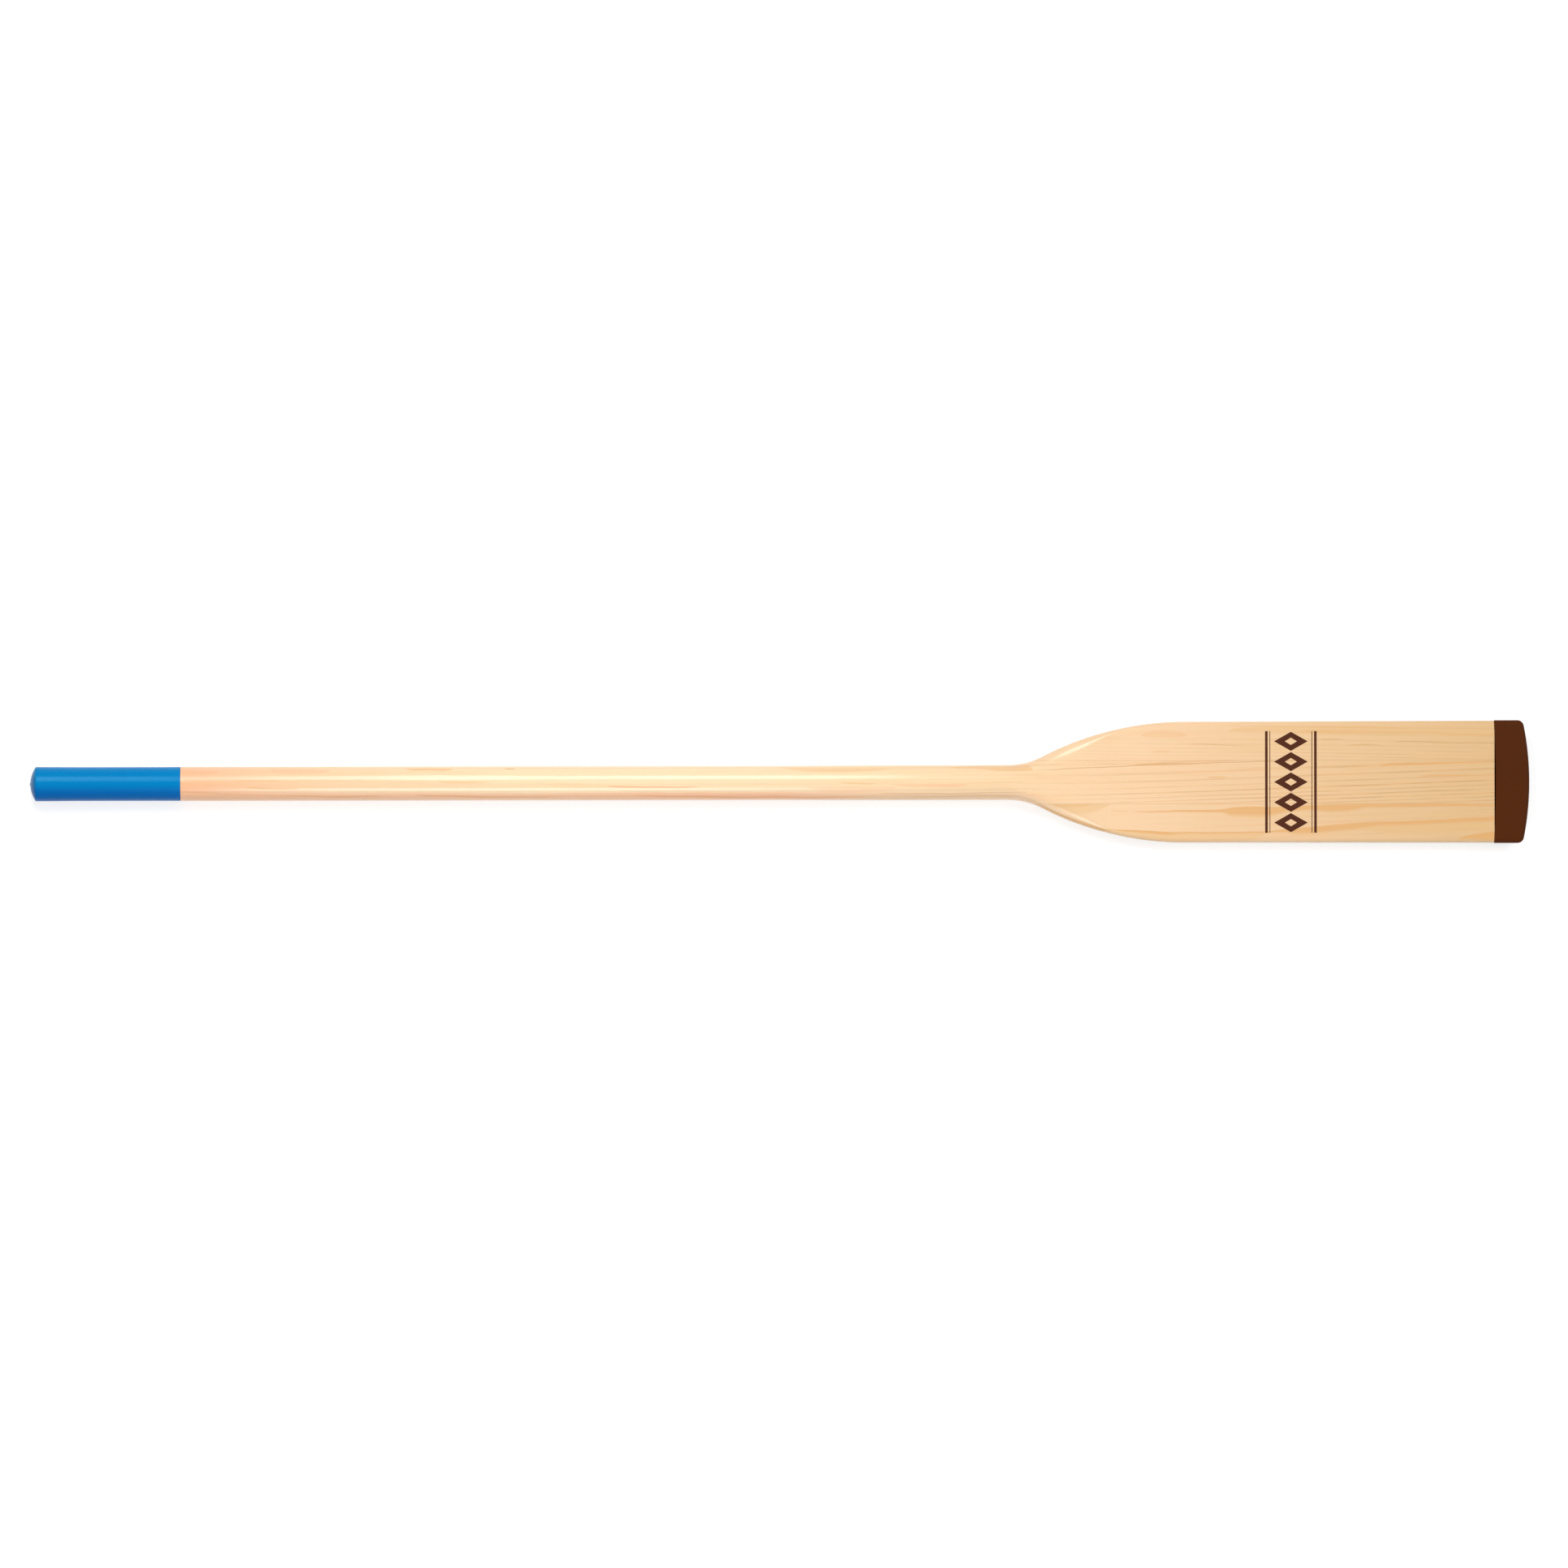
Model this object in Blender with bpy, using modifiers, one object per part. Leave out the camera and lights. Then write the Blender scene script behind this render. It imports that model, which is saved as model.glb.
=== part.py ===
"""A flat-bladed wooden rowing oar, lying on its loom with one blade face up.

One stick of pine runs from the handle to the tip of the blade. A plank glued to each side of it
widens the blade, a vinyl sleeve covers the turned-down handle, and a moulded cap guards the tip.

Lengths are in metres. Each piece is drawn with X as the distance from the grip's domed end and
the loom's axis on Y = Z = 0. One empty then carries all of them to the middle of the length, at
the height where the loom's thickest stretch touches Z = 0.
"""

import math

import bmesh
import bpy

# Overall sizes
LENGTH = 1.8288
BLADE_LENGTH = 0.637
CLEARANCE = 0.0003

# Loom: a round stick that swells a little before the throat
LOOM_RADIUS = 0.02095
SWELL_RADIUS = 0.02145
SWELL_RUN = 0.150
SWELL_TO_THROAT = 0.147

# Throat: the outline opens and the faces ramp down, each in two tangent arcs
THROAT_LENGTH = 0.2168
THROAT_HOLLOW_SHARE = 0.2
RAMP_LEAD = 0.0068
RAMP_LENGTH = 0.180
RAMP_CROWN_SHARE = 0.1

# Blade, between the throat and the guard
SHOULDER_WIDTH = 0.1476
BLADE_WIDTH = 0.1489
SHOULDER_THICKNESS = 0.013
BLADE_THICKNESS = 0.0105
EDGE_ROUNDING = 0.0055
EDGE_BLEND_LEAD = 0.0116
EDGE_BLEND_RUN = 0.121
RIDGE_FADE = 5
STICK_WIDTH = 0.053

# Grip sleeve
GRIP_LENGTH = 0.1833
GRIP_END_RADIUS = 0.0210
GRIP_WAIST_RADIUS = 0.0207
GRIP_MOUTH_RADIUS = 0.0208
GRIP_WAIST_FROM = 0.070
GRIP_WAIST_TO = 0.150
GRIP_WALL = 0.0020
DOME_RADIUS = 0.037
DOME_RIM_RADIUS = 0.0020
NUB_RADIUS = 0.0020
NUB_HEIGHT = 0.0007
NUB_RIM_RADIUS = 0.0012
NUB_RIM_HEIGHT = 0.00056

# Tip guard
GUARD_LENGTH = 0.0415
GUARD_BOW = 0.0017
GUARD_WALL = 0.0015
GUARD_PROUD = 0.0005
END_RADIUS = 0.356
CORNER_RADIUS = 0.0080

# Facets
SIDES = 48
THROAT_STEPS = 28
SWELL_STEPS = 4
DOME_STEPS = 5
ARC_STEPS = 16
CORNER_STEPS = 4
RIM_RESOLUTION = 3
SMOOTH_ANGLE = math.radians(30)
MERGE_DISTANCE = 1e-6

# A facet's half angle. Round pieces have their facets touch the true circle, so the vertices
# stand out of it by this factor, and one facet lies level above and one below.
HALF_FACET = math.pi / SIDES
FACET_OUT = 1 / math.cos(HALF_FACET)

# What follows from the sizes above
THROAT_START = LENGTH - BLADE_LENGTH
THROAT_END = THROAT_START + THROAT_LENGTH
RAMP_START = THROAT_START - RAMP_LEAD
GUARD_START = LENGTH - GUARD_LENGTH
GUARD_HALF_WIDTH = BLADE_WIDTH / 2 + GUARD_PROUD
GUARD_HALF_THICKNESS = BLADE_THICKNESS / 2 + GUARD_PROUD
BORE_RADIUS = GRIP_WAIST_RADIUS - GRIP_WALL
CUTTER_MARGIN = 0.02


def s_curve(along, run, rise, first_share):
    """Height at a distance along two tangent arcs, level at both ends.

    first_share is the first arc's share of the two radii."""
    turn = 2 * math.atan2(rise, run)
    radii = run / math.sin(turn)
    first = radii * first_share
    second = radii - first
    along = min(max(along, 0.0), run)
    if along < first * math.sin(turn):
        return first - math.sqrt(first**2 - along**2)
    return rise - second + math.sqrt(second**2 - (run - along) ** 2)


def smooth_step(share):
    share = min(max(share, 0.0), 1.0)
    return share * share * (3 - 2 * share)


def mix(one, other, share):
    return one + (other - one) * share


def steps(start, end, count):
    return [mix(start, end, i / count) for i in range(count + 1)]


def blade_share(x):
    """How far along the blade this is, from the throat's end to the guard's mouth."""
    return max(x - THROAT_END, 0.0) / (GUARD_START - THROAT_END)


def loom_radius(x):
    swell_start = THROAT_START - SWELL_TO_THROAT - SWELL_RUN
    return LOOM_RADIUS + s_curve(x - swell_start, SWELL_RUN, SWELL_RADIUS - LOOM_RADIUS, 0.5)


def half_width(x):
    radius = loom_radius(x) * FACET_OUT
    rise = SHOULDER_WIDTH / 2 - SWELL_RADIUS * FACET_OUT
    throat = s_curve(x - THROAT_START, THROAT_LENGTH, rise, THROAT_HOLLOW_SHARE)
    return radius + throat + (BLADE_WIDTH - SHOULDER_WIDTH) / 2 * blade_share(x)


def half_thickness(x):
    drop = SWELL_RADIUS - SHOULDER_THICKNESS / 2
    ramp = s_curve(x - RAMP_START, RAMP_LENGTH, drop, RAMP_CROWN_SHARE)
    taper = (SHOULDER_THICKNESS - BLADE_THICKNESS) / 2 * blade_share(x)
    return loom_radius(x) - ramp - taper


def section(x):
    """The wood's section at X, as points around it.

    Two level faces lie between two side arcs. On the loom the arcs are nearly half circles. In the
    throat the arcs start out higher than the faces, which meet them in ridges there. RIDGE_FADE is
    how fast the ridges die away towards the blade, whose arcs are its rounded edges."""
    width = half_width(x)
    height = half_thickness(x)
    blend = smooth_step((x - THROAT_START - EDGE_BLEND_LEAD) / EDGE_BLEND_RUN)
    arc_width = mix(width, EDGE_ROUNDING, blend)
    arc_height = mix(height, loom_radius(x) * FACET_OUT, (1 - blend) ** RIDGE_FADE)
    ridge = math.asin(min(height / arc_height, 1.0))
    side = [
        (width - arc_width * (1 - math.cos(angle)), arc_height * math.sin(angle))
        for angle in steps(-ridge, ridge, SIDES // 2 - 1)
    ]
    return [(x, y, z) for y, z in side] + [(x, -y, z) for y, z in reversed(side)]


def circle(x, radius):
    """A round section whose facets line up with those of the loom."""
    corner = radius * FACET_OUT
    angles = [HALF_FACET * (2 * i + 1) - math.pi / 2 for i in range(SIDES)]
    return [(x, corner * math.cos(angle), corner * math.sin(angle)) for angle in angles]


def dome(inset, radius):
    """Distance along and radius of points on the grip's dome, drawn in by an inset, out to a radius."""
    sphere = DOME_RADIUS - inset
    widest = math.asin(radius / sphere)
    return [
        (DOME_RADIUS - sphere * math.cos(angle), sphere * math.sin(angle))
        for angle in steps(0, widest, DOME_STEPS)
    ]


def arc(centre_x, centre_y, radius, start, end, count):
    return [
        (centre_x + radius * math.cos(angle), centre_y + radius * math.sin(angle))
        for angle in steps(start, end, count)
    ]


def srgb(red, green, blue):
    """A colour given in 0 to 255 display values, as Blender's linear values."""

    def linear(value):
        value /= 255
        return value / 12.92 if value <= 0.04045 else ((value + 0.055) / 1.055) ** 2.4

    return (linear(red), linear(green), linear(blue), 1.0)


def material(name, colour, roughness):
    made = bpy.data.materials.new(name)
    made.use_nodes = True
    shader = made.node_tree.nodes["Principled BSDF"]
    shader.inputs["Base Color"].default_value = colour
    shader.inputs["Roughness"].default_value = roughness
    shader.inputs["Metallic"].default_value = 0.0
    return made


def collection(name):
    made = bpy.data.collections.new(name)
    bpy.context.scene.collection.children.link(made)
    return made


def add_object(name, data, group):
    """An object on the oar's axis, which the carrier moves."""
    made = bpy.data.objects.new(name, data)
    group.objects.link(made)
    made.parent = carrier
    return made


def add_piece(name, data, finish):
    """A piece of the oar, with its own material and smooth round sides."""
    made = add_object(name, data, pieces)
    data.materials.append(finish)
    data.shade_smooth()
    data.set_sharp_from_angle(angle=SMOOTH_ANGLE)
    return made


def add_cutter(name, data):
    made = add_object(name, data, cutters)
    made.hide_render = True
    made.display_type = "WIRE"
    return made


def boolean(piece, operation, cutter):
    modifier = piece.modifiers.new(cutter.name, "BOOLEAN")
    modifier.operation = operation
    modifier.solver = "EXACT"
    modifier.object = cutter


def loft(name, sections):
    """A closed mesh through sections of equally many points."""
    bm = bmesh.new()
    rings = [[bm.verts.new(point) for point in points] for points in sections]
    for ring, following in zip(rings, rings[1:]):
        for i in range(SIDES):
            j = (i + 1) % SIDES
            bm.faces.new((ring[i], ring[j], following[j], following[i]))
    bm.faces.new(rings[0])
    bm.faces.new(rings[-1])
    bmesh.ops.recalc_face_normals(bm, faces=bm.faces)
    made = bpy.data.meshes.new(name)
    bm.to_mesh(made)
    bm.free()
    return made


def flat_outline(name, points, half_thickness_out, rim):
    """A flat closed outline made thick, its rim rounded by a radius, as a mesh."""
    curve = bpy.data.curves.new(name, "CURVE")
    curve.dimensions = "2D"
    curve.fill_mode = "BOTH"
    curve.extrude = half_thickness_out - rim
    curve.bevel_depth = rim
    curve.bevel_resolution = RIM_RESOLUTION
    spline = curve.splines.new("POLY")
    spline.points.add(len(points) - 1)
    for point, (x, y) in zip(spline.points, points):
        point.co = (x, y, 0, 1)
    spline.use_cyclic_u = True
    drawn = bpy.data.objects.new(name, curve)
    bpy.context.scene.collection.objects.link(drawn)
    bpy.context.view_layer.update()
    evaluated = drawn.evaluated_get(bpy.context.evaluated_depsgraph_get())
    made = bpy.data.meshes.new_from_object(evaluated)
    bpy.data.objects.remove(drawn)
    bm = bmesh.new()
    bm.from_mesh(made)
    bmesh.ops.remove_doubles(bm, verts=bm.verts, dist=MERGE_DISTANCE)
    bmesh.ops.recalc_face_normals(bm, faces=bm.faces)
    bm.to_mesh(made)
    bm.free()
    made.name = name
    return made


def wood_blank():
    """The whole wood, from the turned-down handle to a square end past the blade."""
    handle_radius = BORE_RADIUS - CLEARANCE
    shoulder = GRIP_LENGTH + CLEARANCE
    handle = dome(GRIP_WALL + CLEARANCE, handle_radius)[1:] + [(shoulder, handle_radius)]
    swell_end = THROAT_START - SWELL_TO_THROAT
    ramp_end = max(THROAT_END, RAMP_START + RAMP_LENGTH)
    stations = (
        [shoulder]
        + steps(swell_end - SWELL_RUN, swell_end, SWELL_STEPS)
        + steps(RAMP_START, ramp_end, THROAT_STEPS)
        + [LENGTH]
    )
    return loft("wood_blank", [circle(*point) for point in handle] + [section(x) for x in stations])


def tip_form(name, inset, back):
    """The guard's outer form drawn in by an inset, from X = back to the tip, with a round edge."""
    rim = GUARD_HALF_THICKNESS - inset
    drawn_in = inset + rim
    centre_x = LENGTH - END_RADIUS
    corner_y = GUARD_HALF_WIDTH - CORNER_RADIUS
    corner_x = math.sqrt((END_RADIUS - CORNER_RADIUS) ** 2 - corner_y**2)
    meeting = math.atan2(corner_y, corner_x)
    corner = max(CORNER_RADIUS - drawn_in, 0.0)
    left_corner = arc(centre_x + corner_x, corner_y, corner, math.pi / 2, meeting, CORNER_STEPS)
    end = arc(centre_x, 0, END_RADIUS - drawn_in, meeting, -meeting, ARC_STEPS)
    right_corner = [(x, -y) for x, y in reversed(left_corner)]
    half = GUARD_HALF_WIDTH - drawn_in
    points = [(back, half)] + left_corner + end[1:-1] + right_corner + [(back, -half)]
    return flat_outline(name, points, rim, rim)


def mouth_block(name, shift, far_x):
    """A block from the guard's bowed mouth, moved along by a shift, to X = far_x."""
    reach = GUARD_HALF_WIDTH + CUTTER_MARGIN
    radius = (GUARD_HALF_WIDTH**2 + GUARD_BOW**2) / (2 * GUARD_BOW)
    spread = math.asin(reach / radius)
    mouth = arc(GUARD_START + shift - radius, 0, radius, spread, -spread, ARC_STEPS)
    points = mouth + [(far_x, -reach), (far_x, reach)]
    return flat_outline(name, points, SWELL_RADIUS + CUTTER_MARGIN, 0.0)


def side_block(name, inner_y, side):
    """A block over all the wood that lies past inner_y on one side."""
    outer_y = GUARD_HALF_WIDTH + CUTTER_MARGIN
    from_x = RAMP_START
    to_x = LENGTH + CUTTER_MARGIN
    points = [(from_x, inner_y), (to_x, inner_y), (to_x, outer_y), (from_x, outer_y)]
    points = [(x, y * side) for x, y in points]
    return flat_outline(name, points, SWELL_RADIUS + CUTTER_MARGIN, 0.0)


def grip_sleeve():
    """The sleeve, turned: a nub, the dome and its rim, the outside, the mouth, and the bore."""
    rim_centre_radius = GRIP_END_RADIUS - DOME_RIM_RADIUS
    rim_centre_x = DOME_RADIUS - math.sqrt(
        (DOME_RADIUS - DOME_RIM_RADIUS) ** 2 - rim_centre_radius**2
    )
    meeting = math.atan2(rim_centre_radius, DOME_RADIUS - rim_centre_x)
    nub_foot = math.asin(NUB_RADIUS / DOME_RADIUS)
    nub = [(-NUB_HEIGHT, 0.0), (-NUB_RIM_HEIGHT, NUB_RIM_RADIUS)]
    outer_dome = [
        (DOME_RADIUS * (1 - math.cos(angle)), DOME_RADIUS * math.sin(angle))
        for angle in steps(nub_foot, meeting, DOME_STEPS)
    ]
    rim = [
        (
            rim_centre_x - DOME_RIM_RADIUS * math.cos(angle),
            rim_centre_radius + DOME_RIM_RADIUS * math.sin(angle),
        )
        for angle in steps(meeting, math.pi / 2, CORNER_STEPS)
    ]
    side = [
        (GRIP_WAIST_FROM, GRIP_WAIST_RADIUS),
        (GRIP_WAIST_TO, GRIP_WAIST_RADIUS),
        (GRIP_LENGTH, GRIP_MOUTH_RADIUS),
    ]
    bore = [(GRIP_LENGTH, BORE_RADIUS)] + dome(GRIP_WALL, BORE_RADIUS)[::-1]
    profile = nub + outer_dome + rim[1:] + side + bore
    # Turned about Z with the dome on top: the profile's Z is minus the distance from the grip's end
    made = bpy.data.meshes.new("grip_sleeve")
    corners = [(radius, radius * math.tan(HALF_FACET), -x) for x, radius in profile]
    made.from_pydata(corners, [(i, i + 1) for i in range(len(corners) - 1)], [])
    piece = add_piece("grip_sleeve", made, vinyl)
    piece.rotation_euler = (0, -math.pi / 2, 0)
    screw = piece.modifiers.new("turn", "SCREW")
    screw.steps = SIDES
    screw.render_steps = SIDES
    screw.use_merge_vertices = True
    screw.merge_threshold = MERGE_DISTANCE
    screw.use_smooth_shade = True


def wooden_pieces():
    """The loom and the two blade wings, all cut from one blank where their glued faces meet."""
    blank = wood_blank()
    past_mouth = add_cutter(
        "cut_past_mouth", mouth_block("past_mouth", -CLEARANCE, LENGTH + CUTTER_MARGIN)
    )
    core_back = GUARD_START - CUTTER_MARGIN
    core = add_cutter(
        "core_under_guard", tip_form("core", GUARD_WALL + CLEARANCE, core_back)
    )
    glue_face = STICK_WIDTH / 2

    def shaped(name, finish):
        piece = add_piece(name, blank.copy(), finish)
        boolean(piece, "DIFFERENCE", past_mouth)
        boolean(piece, "UNION", core)
        return piece

    loom = shaped("loom", stick_pine)
    for name, side in (("left", 1), ("right", -1)):
        beside = add_cutter("cut_" + name, side_block("beside_" + name, glue_face, side))
        boolean(loom, "DIFFERENCE", beside)
        kept = add_cutter(
            "keep_" + name, side_block("kept_" + name, glue_face + CLEARANCE, side)
        )
        boolean(shaped("blade_wing_" + name, plank_pine), "INTERSECT", kept)
    bpy.data.meshes.remove(blank)


def tip_guard():
    """The cap: its outer form, cut open at the bowed mouth and hollowed by its wall."""
    back = GUARD_START - CUTTER_MARGIN
    piece = add_piece("tip_guard", tip_form("tip_guard", 0.0, back), guard_brown)
    before = mouth_block("before_mouth", 0.0, back - CUTTER_MARGIN)
    boolean(piece, "DIFFERENCE", add_cutter("cut_before_mouth", before))
    cavity = tip_form("cavity", GUARD_WALL, back - CUTTER_MARGIN)
    boolean(piece, "DIFFERENCE", add_cutter("guard_cavity", cavity))


for leftover in list(bpy.data.objects):
    bpy.data.objects.remove(leftover, do_unlink=True)

pieces = collection("oar")
cutters = collection("cutters")
carrier = bpy.data.objects.new("oar_axis", None)
pieces.objects.link(carrier)
carrier.location = ((NUB_HEIGHT - LENGTH) / 2, 0, SWELL_RADIUS)

stick_pine = material("stick_pine", srgb(250, 215, 174), 0.3)
plank_pine = material("plank_pine", srgb(243, 205, 160), 0.3)
vinyl = material("blue_vinyl", srgb(3, 127, 193), 0.45)
guard_brown = material("brown_guard", srgb(84, 42, 20), 0.45)

wooden_pieces()
grip_sleeve()
tip_guard()
bpy.context.view_layer.update()
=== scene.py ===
"""The looks of a pine rowing oar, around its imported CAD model.

Every piece except the print takes the place of a CAD node, as a smoother mesh of it. Pieces are
drawn with X as the distance from the grip's domed end and the loom's axis on Y = Z = 0, and then
moved to the row frame. Materials read object coordinates, which are the row frame's: metres, X
towards the blade's tip.
"""

import math
from typing import NamedTuple

import bmesh
import bpy
from mathutils import Matrix, Vector


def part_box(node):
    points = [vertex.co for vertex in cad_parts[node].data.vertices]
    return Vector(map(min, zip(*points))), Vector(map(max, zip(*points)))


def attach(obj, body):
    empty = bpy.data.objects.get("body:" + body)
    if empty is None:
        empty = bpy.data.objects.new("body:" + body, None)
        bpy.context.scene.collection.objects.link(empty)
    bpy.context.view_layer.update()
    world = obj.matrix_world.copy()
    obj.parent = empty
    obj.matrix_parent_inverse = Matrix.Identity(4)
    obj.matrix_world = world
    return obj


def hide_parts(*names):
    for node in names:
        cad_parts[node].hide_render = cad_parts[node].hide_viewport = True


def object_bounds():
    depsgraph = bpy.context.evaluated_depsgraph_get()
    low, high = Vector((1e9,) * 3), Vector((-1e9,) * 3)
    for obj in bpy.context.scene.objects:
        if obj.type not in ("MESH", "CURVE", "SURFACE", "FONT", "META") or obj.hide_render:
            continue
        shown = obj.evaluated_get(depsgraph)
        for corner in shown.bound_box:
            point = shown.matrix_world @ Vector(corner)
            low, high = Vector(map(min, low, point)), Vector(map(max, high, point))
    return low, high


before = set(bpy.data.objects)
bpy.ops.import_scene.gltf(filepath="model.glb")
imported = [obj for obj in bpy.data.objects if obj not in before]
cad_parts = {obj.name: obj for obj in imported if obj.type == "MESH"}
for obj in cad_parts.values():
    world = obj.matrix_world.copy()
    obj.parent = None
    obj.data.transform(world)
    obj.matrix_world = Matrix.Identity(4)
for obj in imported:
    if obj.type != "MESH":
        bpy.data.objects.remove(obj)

cad_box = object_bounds()

# What the frame says
low, high = (Vector(corner) for corner in cad_box)
GRIP_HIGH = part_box("grip_sleeve")[1]
STICK_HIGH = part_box("loom")[1]
GUARD_LOW, GUARD_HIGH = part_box("tip_guard")
NUB_HEIGHT = 0.0007
AXIS_Z = STICK_HIGH.z / 2
ORIGIN_X = low.x + NUB_HEIGHT
LENGTH = high.x - ORIGIN_X
SWELL_RADIUS = AXIS_Z
GRIP_LENGTH = GRIP_HIGH.x - ORIGIN_X
GUARD_HALF_WIDTH = GUARD_HIGH.y
GUARD_HALF_THICKNESS = (GUARD_HIGH.z - GUARD_LOW.z) / 2

# Loom
LOOM_RADIUS = 0.02095
SWELL_RUN = 0.150
SWELL_TO_THROAT = 0.147
SHOULDER_ROUNDING = 0.0006

# Throat and blade
BLADE_LENGTH = 0.637
THROAT_LENGTH = 0.2168
THROAT_HOLLOW_SHARE = 0.2
RAMP_LEAD = 0.0068
RAMP_LENGTH = 0.180
RAMP_CROWN_SHARE = 0.1
SHOULDER_WIDTH = 0.1476
SHOULDER_THICKNESS = 0.013
EDGE_ROUNDING = 0.0055
EDGE_BLEND_LEAD = 0.0116
EDGE_BLEND_RUN = 0.121
RIDGE_FADE = 5
RIDGE_FILLET_SHARE = 0.9
RIDGE_FILLET_MOST = 0.006
STICK_WIDTH = 0.053

# Grip sleeve
GRIP_END_RADIUS = 0.0210
GRIP_WAIST_RADIUS = 0.0207
GRIP_MOUTH_RADIUS = 0.0208
GRIP_WAIST_FROM = 0.070
GRIP_WAIST_TO = 0.150
GRIP_WALL = 0.0020
DOME_RADIUS = 0.037
DOME_RIM_RADIUS = 0.0020
NUB_FOOT_RADIUS = 0.0028

# Tip guard
GUARD_LENGTH = 0.0415
GUARD_BOW = 0.0017
GUARD_WALL = 0.0015
GUARD_PROUD = 0.0005
END_RADIUS = 0.356
CORNER_RADIUS = 0.0080
LIP_ROUNDING = 0.0004

# How finely the smooth meshes are drawn
SIDES = 256
THROAT_PITCH = 0.0025
SHAFT_PITCH = 0.02
GRIP_STEPS = 40
DOME_STEPS = 20
NUB_STEPS = 10
HIDDEN_DOME_STEPS = 8
BORE_DOME_STEPS = 10
LIP_STEPS = 5
EDGE_STEPS = 4
RIM_STEPS = 32
CORNER_STEPS = 12
GUARD_SIDE_STEPS = 8
GUARD_END_STEPS = 24
FLAT_MARGIN = 0.0005
HIDDEN_GAP = 0.0003
MERGE_DISTANCE = 0.000001
CUT_SNAP = 0.00001
SMOOTH_ANGLE = math.radians(35)

# What follows
THROAT_START = LENGTH - BLADE_LENGTH
THROAT_END = THROAT_START + THROAT_LENGTH
RAMP_START = THROAT_START - RAMP_LEAD
GUARD_START = LENGTH - GUARD_LENGTH
BLADE_WIDTH = 2 * (GUARD_HALF_WIDTH - GUARD_PROUD)
BLADE_THICKNESS = 2 * (GUARD_HALF_THICKNESS - GUARD_PROUD)
HANDLE_RADIUS = GRIP_WAIST_RADIUS - GRIP_WALL - HIDDEN_GAP
GUARD_SPREAD = GUARD_HALF_WIDTH - GUARD_HALF_THICKNESS


# Shapes


def s_curve(along, run, rise, first_share):
    """Height at a distance along two tangent arcs, level at both ends."""
    turn = 2 * math.atan2(rise, run)
    radii = run / math.sin(turn)
    first = radii * first_share
    second = radii - first
    along = min(max(along, 0.0), run)
    if along < first * math.sin(turn):
        return first - math.sqrt(first**2 - along**2)
    return rise - second + math.sqrt(second**2 - (run - along) ** 2)


def smooth_step(share):
    share = min(max(share, 0.0), 1.0)
    return share * share * (3 - 2 * share)


def mix(one, other, share):
    return one + (other - one) * share


def steps(start, end, count):
    return [mix(start, end, i / count) for i in range(count + 1)]


def paced(start, end, pitch):
    return steps(start, end, math.ceil((end - start) / pitch))


def blade_share(x):
    return max(x - THROAT_END, 0.0) / (GUARD_START - THROAT_END)


def loom_radius(x):
    swell_start = THROAT_START - SWELL_TO_THROAT - SWELL_RUN
    return LOOM_RADIUS + s_curve(x - swell_start, SWELL_RUN, SWELL_RADIUS - LOOM_RADIUS, 0.5)


def half_width(x):
    rise = SHOULDER_WIDTH / 2 - SWELL_RADIUS
    throat = s_curve(x - THROAT_START, THROAT_LENGTH, rise, THROAT_HOLLOW_SHARE)
    return loom_radius(x) + throat + (BLADE_WIDTH - SHOULDER_WIDTH) / 2 * blade_share(x)


def half_thickness(x):
    drop = SWELL_RADIUS - SHOULDER_THICKNESS / 2
    ramp = s_curve(x - RAMP_START, RAMP_LENGTH, drop, RAMP_CROWN_SHARE)
    taper = (SHOULDER_THICKNESS - BLADE_THICKNESS) / 2 * blade_share(x)
    return loom_radius(x) - ramp - taper


def rounded_least(one, other, fillet):
    """The lesser of two heights, with the corner where they cross rounded away."""
    if fillet <= 0:
        return min(one, other)
    near = max(fillet - abs(one - other), 0.0) / fillet
    return min(one, other) - near * near * fillet / 4


def level_section(half_wide, half_high, arc_wide, arc_high, fillet=0.0):
    """(y, z) around two level faces between two side arcs, from the middle of the +Y side."""
    points = []
    for i in range(SIDES):
        angle = 2 * math.pi * i / SIDES
        y = half_wide * math.cos(angle)
        into_arc = max(abs(y) - (half_wide - arc_wide), 0.0) / arc_wide
        arc = arc_high * math.sqrt(max(1 - into_arc**2, 0.0))
        z = rounded_least(arc, half_high, fillet)
        points.append((y, math.copysign(z, math.sin(angle)) if i % (SIDES // 2) else 0.0))
    return points


def wood_section(x):
    wide, level = half_width(x), half_thickness(x)
    blend = smooth_step((x - THROAT_START - EDGE_BLEND_LEAD) / EDGE_BLEND_RUN)
    arc_wide = mix(wide, EDGE_ROUNDING, blend)
    arc_high = mix(level, loom_radius(x), (1 - blend) ** RIDGE_FADE)
    fillet = min((arc_high - level) * RIDGE_FILLET_SHARE, RIDGE_FILLET_MOST)
    return level_section(wide, level, arc_wide, arc_high, fillet)


def round_section(radius):
    return level_section(radius, radius, radius, radius)


def mouth_x(y):
    """Where the guard's bowed mouth is, at a distance from the axis."""
    radius = (GUARD_HALF_WIDTH**2 + GUARD_BOW**2) / (2 * GUARD_BOW)
    return GUARD_START - radius + math.sqrt(radius**2 - y**2)


def core_end_x(y):
    """The hidden end of the wood, inside the guard's end arc and clear of its corners."""
    radius = END_RADIUS - CORNER_RADIUS - GUARD_WALL
    return LENGTH - END_RADIUS + math.sqrt(radius**2 - y**2)


def at_x(x, section):
    return [(x, y, z) for y, z in section]


def along_line(line, section, shift=0.0):
    return [(line(y) + shift, y, z) for y, z in section]


# Meshes


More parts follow.
